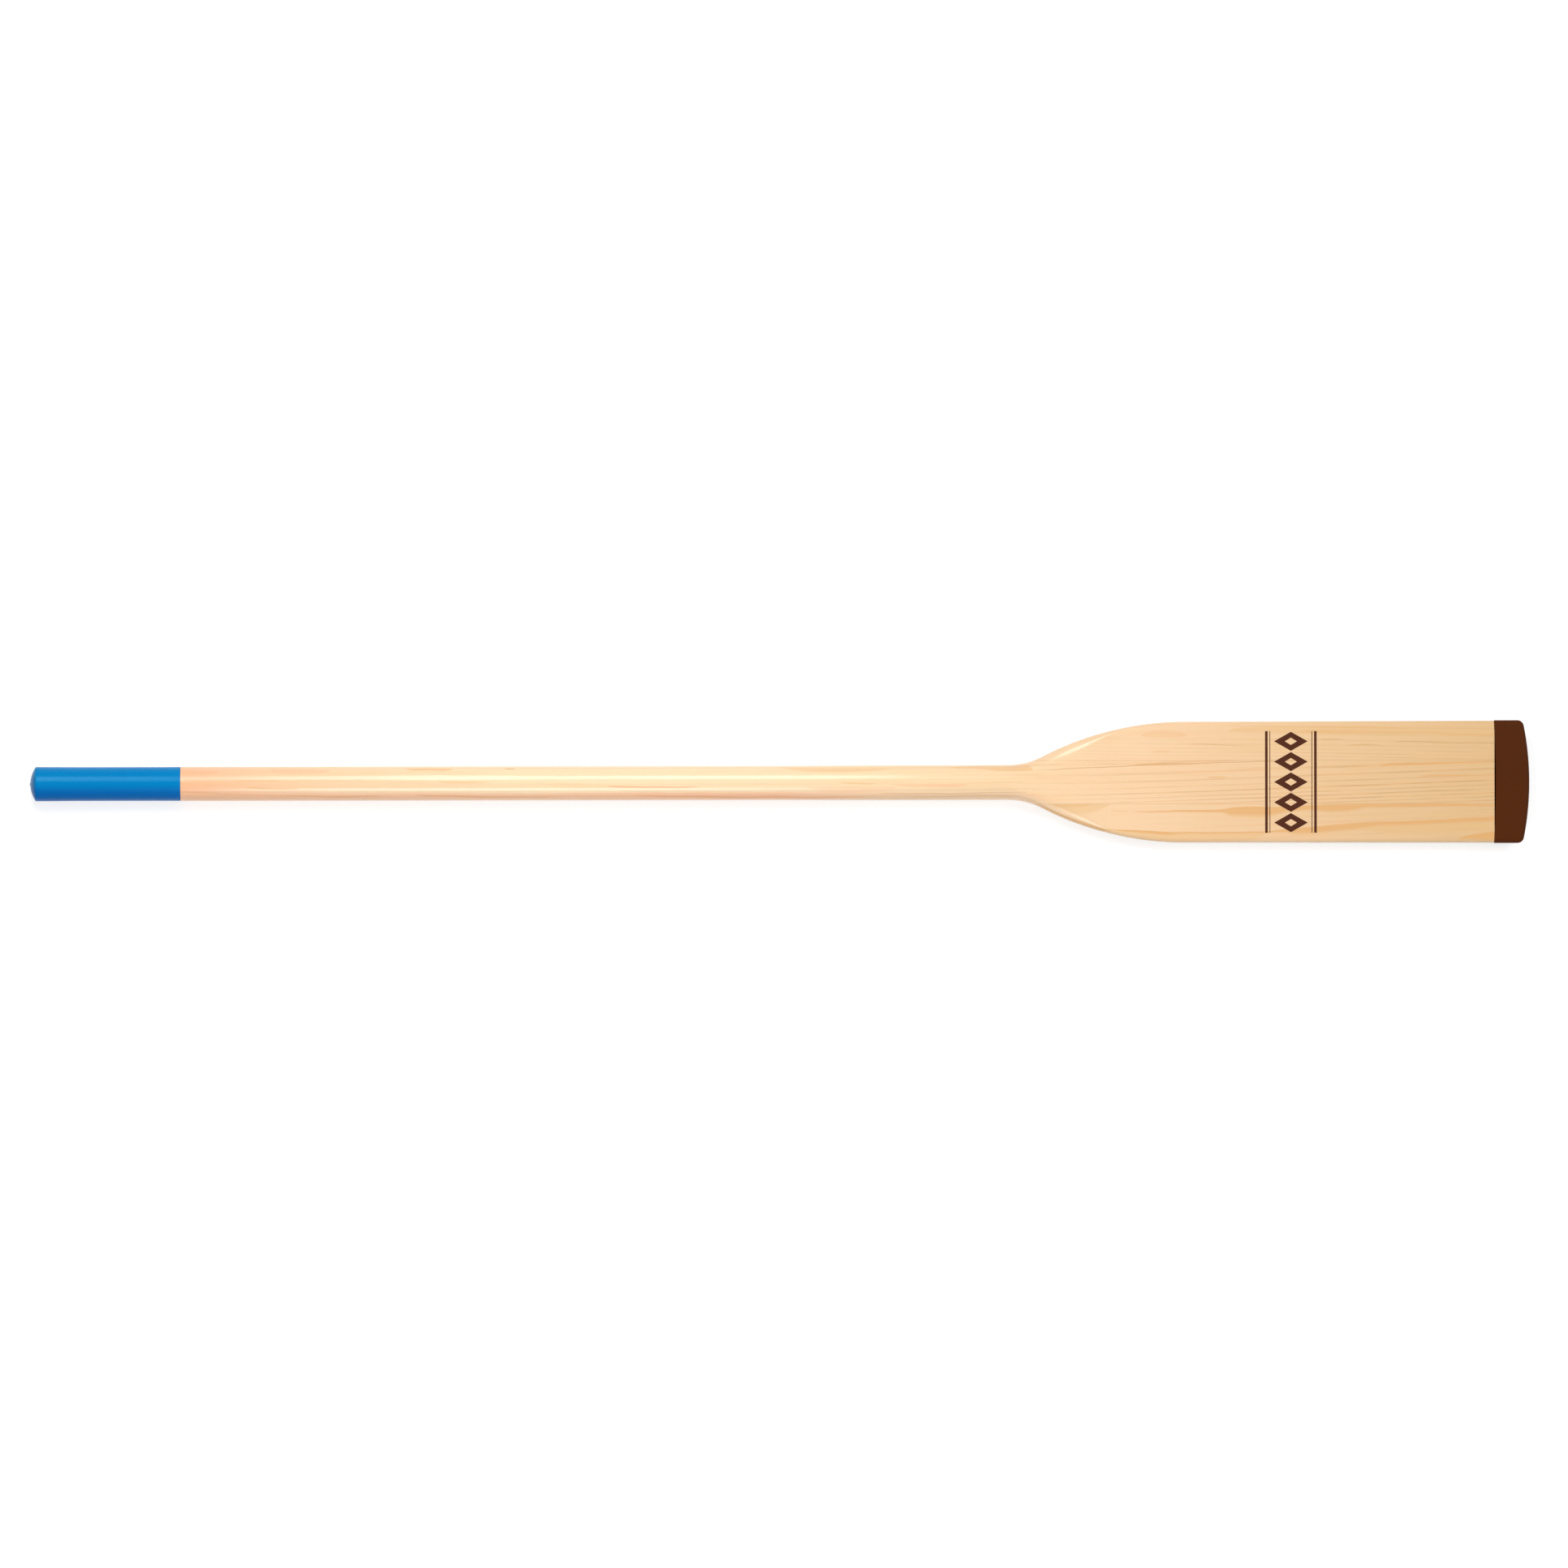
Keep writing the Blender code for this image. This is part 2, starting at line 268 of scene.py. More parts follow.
def finished(bm, name, material):
    """The piece of a mesh in the row frame, shown in place of its CAD node."""
    bmesh.ops.remove_doubles(bm, verts=bm.verts, dist=MERGE_DISTANCE)
    bmesh.ops.recalc_face_normals(bm, faces=bm.faces)
    bm.transform(Matrix.Translation((ORIGIN_X, 0, AXIS_Z)))
    data = bpy.data.meshes.new(name)
    bm.to_mesh(data)
    bm.free()
    data.materials.append(material)
    data.shade_smooth()
    data.set_sharp_from_angle(angle=SMOOTH_ANGLE)
    piece = bpy.data.objects.new(name, data)
    bpy.context.scene.collection.objects.link(piece)
    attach(piece, "root")
    return piece


def grid(bm, rows, closed=False):
    """Quads between rows of equally many points."""
    drawn = [[bm.verts.new(point) for point in row] for row in rows]
    count = len(drawn[0])
    for row, following in zip(drawn, drawn[1:]):
        for i in range(count if closed else count - 1):
            j = (i + 1) % count
            corners = (row[i], row[j], following[j], following[i])
            if len({tuple(corner.co) for corner in corners}) > 2:
                bm.faces.new(corners)
    return drawn


def ladder(bm, ring):
    """Quads across a ring whose second half mirrors its first half, ending it."""
    half = len(ring) // 2
    bm.faces.new((ring[0], ring[1], ring[-1]))
    for i in range(1, half - 1):
        bm.faces.new((ring[i], ring[i + 1], ring[-i - 1], ring[-i]))
    bm.faces.new((ring[half - 1], ring[half], ring[half + 1]))


def wood_rings():
    """The whole wood, from the handle in the sleeve to the end in the guard."""
    inner_dome = DOME_RADIUS - GRIP_WALL - HIDDEN_GAP
    widest = math.asin(HANDLE_RADIUS / inner_dome)
    narrowest = widest / 12
    shoulder = GRIP_LENGTH
    rings = [
        at_x(
            DOME_RADIUS - inner_dome * math.cos(angle), round_section(inner_dome * math.sin(angle))
        )
        for angle in steps(narrowest, widest, HIDDEN_DOME_STEPS)
    ]
    rings.append(at_x(shoulder, round_section(HANDLE_RADIUS)))
    for angle in steps(0, math.pi / 2, EDGE_STEPS):
        x = shoulder + SHOULDER_ROUNDING * (1 - math.cos(angle))
        radius = LOOM_RADIUS - SHOULDER_ROUNDING * (1 - math.sin(angle))
        rings.append(at_x(x, round_section(radius)))
    clear_of_shoulder = shoulder + 2 * SHOULDER_ROUNDING
    rings.append(at_x(clear_of_shoulder, wood_section(clear_of_shoulder)))
    ramp_end = max(THROAT_END, RAMP_START + RAMP_LENGTH)
    near_mouth = GUARD_START - 4 * GUARD_BOW
    stations = (
        paced(clear_of_shoulder, RAMP_START, SHAFT_PITCH)[1:]
        + paced(RAMP_START, ramp_end, THROAT_PITCH)[1:]
        + paced(ramp_end, near_mouth, SHAFT_PITCH)[1:]
    )
    rings += [at_x(x, wood_section(x)) for x in stations]
    rings.append(along_line(mouth_x, wood_section(GUARD_START)))
    core_high = GUARD_HALF_THICKNESS - GUARD_WALL - HIDDEN_GAP
    core_wide = GUARD_HALF_WIDTH - GUARD_WALL - HIDDEN_GAP
    core = level_section(core_wide, core_high, core_high, core_high)
    rings.append(along_line(mouth_x, core))
    rings.append(along_line(core_end_x, core))
    return rings


def wood_mesh():
    bm = bmesh.new()
    drawn = grid(bm, wood_rings(), closed=True)
    ladder(bm, drawn[0])
    ladder(bm, drawn[-1])
    bmesh.ops.recalc_face_normals(bm, faces=bm.faces)
    return bm


def sawn(bm, y, kept_side):
    """Cuts a mesh along a plane square to Y, keeps one side and closes the cut."""
    everything = list(bm.verts) + list(bm.edges) + list(bm.faces)
    normal = (0, -kept_side, 0)
    cut = bmesh.ops.bisect_plane(
        bm, geom=everything, dist=CUT_SNAP, plane_co=(0, y, 0), plane_no=normal, clear_outer=True
    )
    rim = [part for part in cut["geom_cut"] if isinstance(part, bmesh.types.BMEdge)]
    bmesh.ops.holes_fill(bm, edges=rim, sides=0)
    return bm


def stick(material):
    bm = sawn(sawn(wood_mesh(), STICK_WIDTH / 2, -1), -STICK_WIDTH / 2, 1)
    piece = finished(bm, "oar_stick", material)
    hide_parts("loom")


def wing(side, word, material):
    bm = sawn(wood_mesh(), side * STICK_WIDTH / 2, side)
    piece = finished(bm, "oar_wing_" + word, material)
    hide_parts("blade_wing_" + word)


def sleeve_profile():
    """(x, radius) from the nub over the dome, along the outside, and back through the bore."""
    rim_radius = GRIP_END_RADIUS - DOME_RIM_RADIUS
    rim_x = DOME_RADIUS - math.sqrt((DOME_RADIUS - DOME_RIM_RADIUS) ** 2 - rim_radius**2)
    meeting = math.atan2(rim_radius, DOME_RADIUS - rim_x)
    foot = math.asin(NUB_FOOT_RADIUS / DOME_RADIUS)
    nub = [
        (-NUB_HEIGHT * (1 - smooth_step(share)), NUB_FOOT_RADIUS * share)
        for share in steps(0, 1, NUB_STEPS)
    ]
    dome = [
        (DOME_RADIUS * (1 - math.cos(angle)), DOME_RADIUS * math.sin(angle))
        for angle in steps(foot, meeting, DOME_STEPS)
    ]
    rim = [
        (rim_x - DOME_RIM_RADIUS * math.cos(angle), rim_radius + DOME_RIM_RADIUS * math.sin(angle))
        for angle in steps(meeting, math.pi / 2, CORNER_STEPS)
    ]
    body = []
    clear_of_lip = GRIP_LENGTH - 2 * LIP_ROUNDING
    for x in steps(rim_x, clear_of_lip, GRIP_STEPS)[1:] + [clear_of_lip + LIP_ROUNDING]:
        to_waist = smooth_step((x - rim_x) / (GRIP_WAIST_FROM - rim_x))
        to_mouth = smooth_step((x - GRIP_WAIST_TO) / (GRIP_LENGTH - GRIP_WAIST_TO))
        waist = mix(GRIP_END_RADIUS, GRIP_WAIST_RADIUS, to_waist)
        body.append((x, mix(waist, GRIP_MOUTH_RADIUS, to_mouth)))
    lip = [
        (
            GRIP_LENGTH - LIP_ROUNDING * (1 - math.sin(angle)),
            GRIP_MOUTH_RADIUS - LIP_ROUNDING * (1 - math.cos(angle)),
        )
        for angle in steps(0, math.pi / 2, LIP_STEPS)
    ]
    bore_radius = GRIP_WAIST_RADIUS - GRIP_WALL
    inner_dome = DOME_RADIUS - GRIP_WALL
    bore = [(GRIP_LENGTH, bore_radius)]
    bore += [
        (DOME_RADIUS - inner_dome * math.cos(angle), inner_dome * math.sin(angle))
        for angle in steps(math.asin(bore_radius / inner_dome), 0, BORE_DOME_STEPS)
    ]
    return nub + dome[1:] + rim[1:] + body + lip[1:] + bore


def sleeve(material):
    bm = bmesh.new()
    turns = [2 * math.pi * i / SIDES for i in range(SIDES)]
    rows = [
        [(x, radius * math.cos(turn), radius * math.sin(turn)) for turn in turns]
        for x, radius in sleeve_profile()
    ]
    grid(bm, rows, closed=True)
    piece = finished(bm, "oar_grip", material)
    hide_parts("grip_sleeve")


def tip_outline(inset, lip):
    """The guard's plan from its mouth on the +Y side round the tip to the -Y side."""
    centre_x = LENGTH - END_RADIUS
    corner_y = GUARD_HALF_WIDTH - CORNER_RADIUS
    reach_x = math.sqrt((END_RADIUS - CORNER_RADIUS) ** 2 - corner_y**2)
    meeting = math.atan2(corner_y, reach_x)
    half = GUARD_HALF_WIDTH - inset
    corner = CORNER_RADIUS - inset
    end = END_RADIUS - inset
    side = steps(mouth_x(half) + lip, centre_x + reach_x, GUARD_SIDE_STEPS)
    left = [(x, half) for x in side[:-1]]
    left += [
        (centre_x + reach_x + corner * math.cos(angle), corner_y + corner * math.sin(angle))
        for angle in steps(math.pi / 2, meeting, CORNER_STEPS)
    ]
    left += [
        (centre_x + end * math.cos(angle), end * math.sin(angle))
        for angle in steps(meeting, 0, GUARD_END_STEPS)[1:-1]
    ]
    tip = [(centre_x + end, 0.0)]
    return left + tip + [(x, -y) for x, y in reversed(left)]


def cap_surface(bm, half_high, inset, lip):
    """One face of the cap's wall: its round edge, and its two level faces up to the bowed mouth."""
    profile = [
        (half_high * (1 - math.sin(angle)), half_high * math.cos(angle))
        for angle in steps(0, math.pi, RIM_STEPS)
    ]
    level = half_high + FLAT_MARGIN
    profile = [(level, half_high)] + profile + [(level, -half_high)]
    rows = [
        [(x, y, z) for x, y in tip_outline(inset + drawn_in, lip)] for drawn_in, z in profile
    ]
    drawn = grid(bm, rows)
    for row in (drawn[0], drawn[-1]):
        half = len(row) // 2
        for i in range(half - 1):
            bm.faces.new((row[i], row[i + 1], row[-i - 2], row[-i - 1]))
        bm.faces.new((row[half - 1], row[half], row[half + 1]))
        reach, z = row[0].co.y, row[0].co.z
        across = steps(-reach, reach, GUARD_END_STEPS)[1:-1]
        bow = [bm.verts.new((mouth_x(y) + lip, y, z)) for y in across]
        bm.faces.new([row[0], row[-1]] + bow)


def mouth_loop(inset, shift):
    """The closed edge of the cap's wall at its mouth, drawn in by an inset."""
    half_high = GUARD_HALF_THICKNESS - inset
    flat = GUARD_SPREAD - FLAT_MARGIN
    level = [GUARD_SPREAD] + steps(flat, -flat, GUARD_END_STEPS) + [-GUARD_SPREAD]
    angles = steps(0, math.pi, RIM_STEPS)[1:-1]
    top = [(y, half_high) for y in level]
    right = [
        (-GUARD_SPREAD - half_high * math.sin(angle), half_high * math.cos(angle))
        for angle in angles
    ]
    section = top + right + [(-y, -z) for y, z in top + right]
    return along_line(mouth_x, section, shift)


def guard(material):
    bm = bmesh.new()
    cap_surface(bm, GUARD_HALF_THICKNESS, 0.0, LIP_ROUNDING)
    cap_surface(bm, GUARD_HALF_THICKNESS - GUARD_WALL, GUARD_WALL, 0.0)
    lip = [
        mouth_loop(LIP_ROUNDING * (1 - math.cos(angle)), LIP_ROUNDING * (1 - math.sin(angle)))
        for angle in steps(0, math.pi / 2, EDGE_STEPS)
    ]
    grid(bm, lip + [mouth_loop(GUARD_WALL, 0.0)], closed=True)
    piece = finished(bm, "oar_tip_guard", material)
    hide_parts("tip_guard")


# The print on the blade: a plain band of lozenges between stripes

PRINT_X = 1.53785
PRINT_SPAN = 0.124
PRINT_HALF_WIDTH = 0.0315
STRIPE_WIDTH = 0.0032
PINSTRIPE_WIDTH = 0.0009
PINSTRIPE_GAP = 0.0022
LOZENGES = 5
LOZENGE_HALF_WIDTH = 0.0205
LOZENGE_FILL = 0.94
LOZENGE_HOLE = 0.36
INK_DEPTH = 0.00004


def bar(x, wide):
    half = PRINT_SPAN / 2
    return [(x, -half), (x + wide, -half), (x + wide, half), (x, half)]


def lozenge(y, half_wide, half_high):
    return [(half_wide, y), (0.0, y + half_high), (-half_wide, y), (0.0, y - half_high)]


def print_bars():
    stripe = PRINT_HALF_WIDTH - STRIPE_WIDTH
    pinstripe = stripe - PINSTRIPE_GAP - PINSTRIPE_WIDTH
    for side in (-1, 1):
        for from_x, wide in ((stripe, STRIPE_WIDTH), (pinstripe, PINSTRIPE_WIDTH)):
            yield [(side * x, y) for x, y in bar(from_x, wide)]


def print_lozenges():
    """The outer and the inner outline of each lozenge."""
    pitch = PRINT_SPAN / LOZENGES
    for i in range(LOZENGES):
        y = (i - (LOZENGES - 1) / 2) * pitch
        outer = lozenge(y, LOZENGE_HALF_WIDTH, pitch / 2 * LOZENGE_FILL)
        inner = lozenge(y, LOZENGE_HALF_WIDTH * LOZENGE_HOLE, pitch / 2 * LOZENGE_HOLE)
        yield outer, inner


def on_blade(outline, lift):
    """An outline on the blade's upper face, which falls a little to the tip."""
    return [(PRINT_X + x, y, half_thickness(PRINT_X + x) + lift) for x, y in outline]


def ink(material):
    """The print as a film of ink, half of it above the wood."""
    bm = bmesh.new()
    for outline in print_bars():
        ends = grid(bm, [on_blade(outline, -INK_DEPTH), on_blade(outline, INK_DEPTH)], closed=True)
        for end in ends:
            bm.faces.new(end)
    for outer, inner in print_lozenges():
        sunk = [on_blade(outer, -INK_DEPTH), on_blade(inner, -INK_DEPTH)]
        raised = [on_blade(inner, INK_DEPTH), on_blade(outer, INK_DEPTH)]
        grid(bm, sunk + raised + sunk[:1], closed=True)
    finished(bm, "oar_blade_print", material)


# Materials


def srgb(red, green, blue):
    """A colour given in 0 to 255 display values, as Blender's linear values."""

    def linear(value):
        value /= 255
        return value / 12.92 if value <= 0.04045 else ((value + 0.055) / 1.055) ** 2.4

    return (linear(red), linear(green), linear(blue), 1.0)


class Wire:
    """A node's output that sums and products are written with."""

    def __init__(self, board, socket):
        self.board = board
        self.socket = socket

    def __add__(self, other):
        return self.board.math("ADD", self, other)

    def __sub__(self, other):
        return self.board.math("SUBTRACT", self, other)

    def __mul__(self, other):
        return self.board.math("MULTIPLY", self, other)

    def __truediv__(self, other):
        return self.board.math("DIVIDE", self, other)


class Board:
    """A new material whose nodes are written as formulas of wires."""

    def __init__(self, name):
        self.material = bpy.data.materials.new(name)
        self.material.use_nodes = True
        self.tree = self.material.node_tree
        self.shader = self.tree.nodes["Principled BSDF"]
        place = self.node("ShaderNodeTexCoord").outputs["Object"]
        parts = self.node("ShaderNodeSeparateXYZ")
        self.tree.links.new(place, parts.inputs["Vector"])
        self.x, self.y, self.z = (Wire(self, parts.outputs[axis]) for axis in "XYZ")

    def node(self, kind, **settings):
        made = self.tree.nodes.new(kind)
        for name, value in settings.items():
            setattr(made, name, value)
        return made

    def feed(self, socket, value):
        if isinstance(value, Wire):
            self.tree.links.new(value.socket, socket)
        else:
            socket.default_value = value

    def math(self, operation, *values):
        made = self.node("ShaderNodeMath", operation=operation)
        for socket, value in zip(made.inputs, values):
            self.feed(socket, value)
        return Wire(self, made.outputs["Value"])

    def step(self, value, start, end):
        """0 at start, 1 at end, and smooth between them."""
        made = self.node("ShaderNodeMapRange", interpolation_type="SMOOTHSTEP")
        for name, given in (("Value", value), ("From Min", start), ("From Max", end)):
            self.feed(made.inputs[name], given)
        return Wire(self, made.outputs["Result"])

    def texture(self, layer, seed):
        """Noise from 0 to 1 with features as long as the layer's lengths along X, Y and Z."""
        place = self.node("ShaderNodeCombineXYZ")
        for socket, part, length in zip(place.inputs, (self.x, self.y, self.z), layer.lengths):
            self.feed(socket, part / length + (seed + layer.seed))
        made = self.node("ShaderNodeTexNoise")
        self.tree.links.new(place.outputs["Vector"], made.inputs["Vector"])
        made.inputs["Scale"].default_value = 1.0
        made.inputs["Detail"].default_value = layer.detail
        return Wire(self, made.outputs["Fac"])

    def cover(self, texture, layer):
        """How much of a layer lies at each point of its texture."""
        return self.step(texture, layer.start, layer.end) * layer.share

    def chance(self, value):
        """A random number from 0 to 1 for each whole value."""
        made = self.node("ShaderNodeTexWhiteNoise", noise_dimensions="1D")
        self.feed(made.inputs["W"], value)
        return Wire(self, made.outputs["Value"])

    def mix(self, one, other, share):
        made = self.node("ShaderNodeMix", data_type="RGBA")
        factor, first, second = made.inputs[0], made.inputs[6], made.inputs[7]
        self.feed(factor, share)
        self.feed(first, one)
        self.feed(second, other)
        return Wire(self, made.outputs[2])

    def ramp(self, value, stops):
        """A colour that runs through stops of (value, colour)."""
        start, end = stops[0][0], stops[-1][0]
        made = self.node("ShaderNodeValToRGB")
        elements = made.color_ramp.elements
        while len(elements) < len(stops):
            elements.new(0.5)
        for element, (at, colour) in zip(elements, stops):
            element.position = (at - start) / (end - start)
            element.color = colour
        self.feed(made.inputs["Fac"], (value - start) / (end - start))
        return Wire(self, made.outputs["Color"])

    def curve(self, value, stations):
        """A smooth curve through stations of (value, result), level beyond both ends."""
        start, end = stations[0][0], stations[-1][0]
        results = [result for _, result in stations]
        lowest = min(results)
        rise = max(results) - lowest
        made = self.node("ShaderNodeFloatCurve")
        made.mapping.extend = "HORIZONTAL"
        drawn = made.mapping.curves[0].points
        while len(drawn) < len(stations):
            drawn.new(0.5, 0.5)
        for point, (at, result) in zip(drawn, stations):
            height = (result - lowest) / rise if rise else 0.0
            point.location = ((at - start) / (end - start), height)
            point.handle_type = "AUTO_CLAMPED"
        made.mapping.update()
        self.feed(made.inputs["Value"], (value - start) / (end - start))
        return Wire(self, made.outputs["Value"]) * rise + lowest

    def bump(self, height, depth):
        """Raises the surface by depth metres where height is 1."""
        made = self.node("ShaderNodeBump")
        made.inputs["Distance"].default_value = depth
        self.feed(made.inputs["Height"], height)
        self.tree.links.new(made.outputs["Normal"], self.shader.inputs["Normal"])


class Layer(NamedTuple):
    """A noise, the levels of it that a tint starts and is whole at, and the tint's share."""

    lengths: tuple
    seed: float
    detail: float = 1.0
    start: float = 0.0
    end: float = 1.0
    share: float = 1.0


class Timber(NamedTuple):
    """How a piece was sawn: the tree's centre, the grain's slope past GRAIN_BEND, and its rings.

    A ring mark is (how far out from line_y on the blade's face, how many rings end by there).
    """

    pith_y: float
    pith_z: float
    line_y: float
    slope: float
    ring_marks: tuple
    swing: float
    strength: float


GRAIN_BEND = 0.27
GRAIN_BEND_RUN = 0.15
STICK_RINGS = (
    (-0.045, -4.2),
    (-0.0285, -3.0),
    (-0.0163, -2.0),
    (-0.0074, -1.0),
    (-0.0005, 0.0),
    (0.0059, 1.0),
    (0.0158, 3.0),
    (0.0247, 5.0),
    (0.060, 13.0),
)
LEFT_RINGS = ((-0.050, -5.5), (-0.024, -2.6), (0.000, 0.8), (0.0235, 6.5), (0.050, 14.0))
RIGHT_RINGS = ((-0.050, -7.0), (0.000, 0.0), (0.050, 9.0))
STICK_TIMBER = Timber(0.30, -0.06, -0.0147, 0.0365, STICK_RINGS, 0.0012, 0.85)
LEFT_TIMBER = Timber(0.40, -0.10, 0.050, -0.012, LEFT_RINGS, 0.0030, 0.32)
RIGHT_TIMBER = Timber(-0.40, -0.12, -0.050, 0.040, RIGHT_RINGS, 0.0030, 0.22)

PINE_TONES = (
    (-0.73, srgb(251, 190, 146)),
    (-0.60, srgb(252, 207, 164)),
    (-0.35, srgb(253, 222, 180)),
    (-0.05, srgb(253, 222, 180)),
    (0.15, srgb(252, 218, 173)),
    (0.44, srgb(249, 210, 167)),
    (0.66, srgb(240, 200, 152)),
    (0.87, srgb(231, 191, 138)),
)
LATEWOOD = srgb(198, 148, 86)
ORANGE_WOOD = srgb(232, 175, 106)
PINK_WOOD = srgb(252, 184, 138)
GOLDEN_WOOD = srgb(235, 191, 132)
# A warm, darker tint on the loom's -Y side: partly heartwood, partly painted shade.
HEARTWOOD_AND_SHADE = srgb(255, 196, 152)
AMBER_WOOD = srgb(242, 173, 120)
HEARTWOOD_AND_SHADE_EDGE = (-0.0107, -0.0125)
HEARTWOOD_AND_SHADE_END = (0.37, 0.28)
HEARTWOOD_AND_SHADE_SHARES = ((-0.30, 0.75), (-0.05, 1.0), (0.08, 0.5), (0.20, 0.2))

PINK_CLOUDS = Layer((0.30, 0.012, 0.012), 11.0, 2.0, 0.52, 0.85, 0.30)
GOLDEN_CLOUDS = Layer((0.24, 0.009, 0.009), 17.0, 2.0, 0.50, 0.80, 0.25)
WARM_RINGS = Layer((0.06, 0.01, 0.01), 13.0, 1.0, 0.45, 0.65, 1.0)
STREAKS = Layer((0.11, 0.0009, 0.0009), 19.0, 1.0, 0.56, 0.72, 0.45)
FIBRES = Layer((0.030, 0.00035, 0.00035), 5.0, 2.0, 0.55, 0.85, 0.14)
DUCTS = Layer((0.0035, 0.00022, 0.00022), 9.0, 1.0, 0.74, 0.80, 0.4)
FADED_RINGS = Layer((0.14, 0.010, 0.010), 7.7, 1.0, 0.25, 0.6, 0.65)

SWING = Layer((0.25, 0.03, 0.03), 0.0)
RIPPLE = Layer((0.06, 0.006, 0.006), 3.1)
RIPPLE_REACH = 0.0006
RING_DARKENS = (0.60, 0.92)
RING_ENDS = (0.99, 0.95)
LEAST_RING = 0.5
WAVER = Layer((0.04, 0.02, 0.02), 1.3)
WAVER_REACH = 0.0022
BLADE_GRAIN_GROWS = (0.25, 0.80)
LOOM_GRAIN_SHARE = 0.3
SEAM_EDGE = (0.00035, 0.0001)
SEAM_START = (0.29, 0.31)
SEAM_SHARE = 0.5
WOOD_ROUGHNESS = 0.42
FIBRE_ROUGHNESS = 0.15
RING_SMOOTHNESS = 0.1
RING_RELIEF = 0.6
GRAIN_DEPTH = 0.00003
WOOD_SHINE = 0.1
VARNISH_ROUGHNESS = 0.14
VARNISH_IOR = 1.5

BAND_EDGE = 0.0003
BAND_LEAST_DEPTH = 0.0004
BAND_OPENING = 0.0012
BAND_FADES_FROM = 0.45


class Band(NamedTuple):
    """A band of darker wood, one partly painted shade: its tint and strength, its crisp side, its
    stations.

    A station is (x, y of the crisp edge, how far the band fades away from it). The crisp side is
    1 where it faces +Y.
    """

    tint: tuple
    strength: float
    crisp_side: int
    stations: tuple


def band_mask(board, across, band):
    edge = board.curve(board.x, [(x, y) for x, y, _ in band.stations])
    depth = board.curve(board.x, [(x, depth) for x, _, depth in band.stations])
    into = (edge - across) * float(band.crisp_side)
    share = into / board.math("MAXIMUM", depth, BAND_LEAST_DEPTH)
    body = board.step(into, -BAND_EDGE, BAND_EDGE) * board.step(share, 1.0, BAND_FADES_FROM)
    return body * board.step(depth, 0.0, BAND_OPENING)


def growth_rings(board, timber, seed):
    """How dark each point is by its place in its growth ring: crisp outwards, fading inwards."""
    bent = board.math("SMOOTH_MAX", board.x - GRAIN_BEND, 0.0, GRAIN_BEND_RUN)
    across = board.y - bent * timber.slope - timber.pith_y
    down = board.z - timber.pith_z
    blade_face = AXIS_Z + SHOULDER_THICKNESS / 2
    line_radius = math.hypot(timber.line_y - timber.pith_y, blade_face - timber.pith_z)
    swing = board.texture(SWING, seed) - 0.5
    ripple = board.texture(RIPPLE, seed) - 0.5
    radius = board.math("SQRT", across * across + down * down)
    out = radius - line_radius + swing * timber.swing + ripple * RIPPLE_REACH
    rings = board.curve(out, timber.ring_marks)
    share = board.math("FRACT", rings)
    number = board.math("FLOOR", rings)
    late = board.step(share, *RING_DARKENS) * board.step(share, *RING_ENDS)
    strength = board.chance(number) * (1 - LEAST_RING) + LEAST_RING
    unfaded = board.cover(board.texture(FADED_RINGS, seed), FADED_RINGS) + (1 - FADED_RINGS.share)
    return late * strength * unfaded


def pine(name, timber, seed, bands, heartwood_and_shade=False):
    """Varnished pine: tones along the oar, growth rings, listed bands and fine fibres."""
    board = Board(name)
    waver = board.texture(WAVER, seed) - 0.5
    across = board.y + waver * WAVER_REACH
    colour = board.ramp(board.x, PINE_TONES)
    for tint, clouds in ((PINK_WOOD, PINK_CLOUDS), (GOLDEN_WOOD, GOLDEN_CLOUDS)):
        colour = board.mix(colour, tint, board.cover(board.texture(clouds, seed), clouds))
    if heartwood_and_shade:
        # Partly heartwood and partly painted shade: the -Y side of the loom and throat turns warmer
        # and darker.
        inside = board.step(across, *HEARTWOOD_AND_SHADE_EDGE) * board.step(board.x, *HEARTWOOD_AND_SHADE_END)
        colour = board.mix(colour, HEARTWOOD_AND_SHADE, inside * board.curve(board.x, HEARTWOOD_AND_SHADE_SHARES))
    rings = growth_rings(board, timber, seed)
    towards_tip = board.step(board.x, *BLADE_GRAIN_GROWS)
    grain = (towards_tip * (1 - LOOM_GRAIN_SHARE) + LOOM_GRAIN_SHARE) * timber.strength
    warmth = board.cover(board.texture(WARM_RINGS, seed), WARM_RINGS)
    colour = board.mix(colour, board.mix(LATEWOOD, ORANGE_WOOD, warmth), rings * grain)
    for band in bands:
        colour = board.mix(colour, band.tint, band_mask(board, across, band) * band.strength)
    streaks = board.cover(board.texture(STREAKS, seed), STREAKS)
    colour = board.mix(colour, ORANGE_WOOD, streaks * grain)
    fibre = board.texture(FIBRES, seed)
    colour = board.mix(colour, LATEWOOD, board.cover(fibre, FIBRES))
    colour = board.mix(colour, LATEWOOD, board.cover(board.texture(DUCTS, seed), DUCTS))
    from_seam = board.math("ABSOLUTE", board.math("ABSOLUTE", board.y) - STICK_WIDTH / 2)
    seam = board.step(from_seam, *SEAM_EDGE) * board.step(board.x, *SEAM_START)
    colour = board.mix(colour, LATEWOOD, seam * SEAM_SHARE)
    board.feed(board.shader.inputs["Base Color"], colour)
    roughness = fibre * FIBRE_ROUGHNESS - rings * RING_SMOOTHNESS + WOOD_ROUGHNESS
    board.feed(board.shader.inputs["Roughness"], roughness)
    board.bump(rings * RING_RELIEF + fibre * (1 - RING_RELIEF), GRAIN_DEPTH)
    board.shader.inputs["Specular IOR Level"].default_value = WOOD_SHINE
    board.shader.inputs["Coat Weight"].default_value = 1.0
    board.shader.inputs["Coat Roughness"].default_value = VARNISH_ROUGHNESS
    board.shader.inputs["Coat IOR"].default_value = VARNISH_IOR
    return board.material


